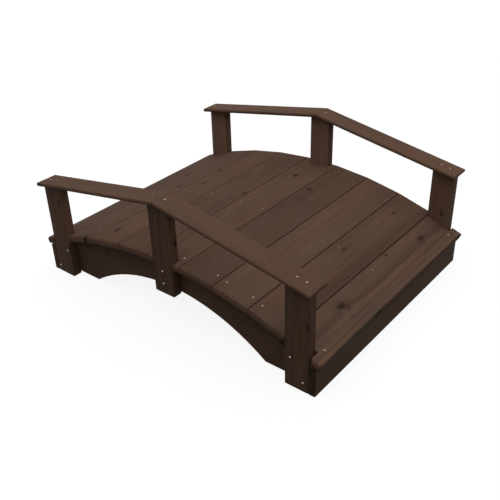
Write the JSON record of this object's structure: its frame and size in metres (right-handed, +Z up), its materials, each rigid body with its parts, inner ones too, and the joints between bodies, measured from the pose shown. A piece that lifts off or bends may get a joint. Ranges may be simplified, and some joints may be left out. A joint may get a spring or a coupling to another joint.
{
  "type": "wooden garden bridge",
  "caption": "Small arched garden footbridge of dark stained boards, with planks across curved stringers, short posts and sloping rail boards mitred over the middle.",
  "frame": {"origin": "on the ground under the middle of the deck", "axes": "+X along the bridge, the way it is walked; +Y across it towards the far side; +Z up"},
  "size_m": [1.2194, 0.965, 0.4674],
  "materials": {
    "deck_wood": "brown stain, matt",
    "rail_wood": "brown stain, matt",
    "frame_wood": "dark brown stain, matt",
    "zinc_fastener": "bright zinc plate"
  },
  "bodies": {
    "root": {"near_stringer": "frame_wood", "middle_stringer": "frame_wood", "far_stringer": "frame_wood", "deck_plank_1": "deck_wood", "deck_plank_2": "deck_wood", "deck_plank_3": "deck_wood", "deck_plank_4": "deck_wood", "deck_plank_5": "deck_wood", "deck_plank_6": "deck_wood", "deck_plank_7": "deck_wood", "deck_plank_8": "deck_wood", "deck_plank_9": "deck_wood", "left_end_board": "frame_wood", "right_end_board": "frame_wood", "near_left_post": "frame_wood", "near_middle_post": "frame_wood", "near_right_post": "frame_wood", "far_left_post": "frame_wood", "far_middle_post": "frame_wood", "far_right_post": "frame_wood", "near_left_rail": "rail_wood", "near_right_rail": "rail_wood", "far_left_rail": "rail_wood", "far_right_rail": "rail_wood"}
  },
  "joints": []
}
